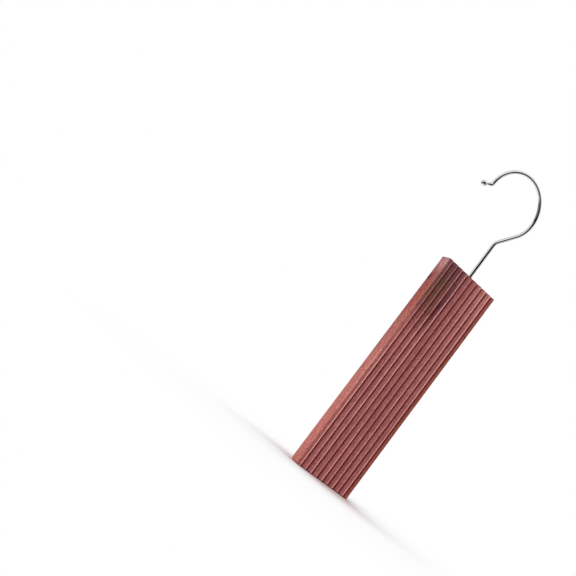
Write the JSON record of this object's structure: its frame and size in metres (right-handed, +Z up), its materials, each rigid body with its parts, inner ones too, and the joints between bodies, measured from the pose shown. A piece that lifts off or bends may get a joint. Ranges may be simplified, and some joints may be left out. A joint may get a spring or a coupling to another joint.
{
  "type": "cedar hanger block",
  "caption": "Slim plank of red cedar, fluted along both broad faces, that hangs from a rail by a swivelling wire hook with a ball tip.",
  "frame": {"origin": "on the inside of the hook's crown, where the wire bears on the rail it hangs from", "axes": "+Z up along the block, +X across the block towards the closed side of the hook, -Y out of the front face"},
  "size_m": [0.0733, 0.0126, 0.3015],
  "materials": {
    "cedar": "planed, unfinished",
    "chrome": "bright plated",
    "brad": "plain"
  },
  "bodies": {
    "hook": {"wire_hook": "chrome", "ball_tip": "chrome"},
    "block": {"cedar_block": "cedar", "retaining_brad": "brad"}
  },
  "joints": [
    {"name": "block_swivel", "type": "hinge", "parent": "hook", "child": "block", "pos_m": [0.0083, 0, -0.11], "axis": [0, 0, 1], "continuous": true}
  ]
}
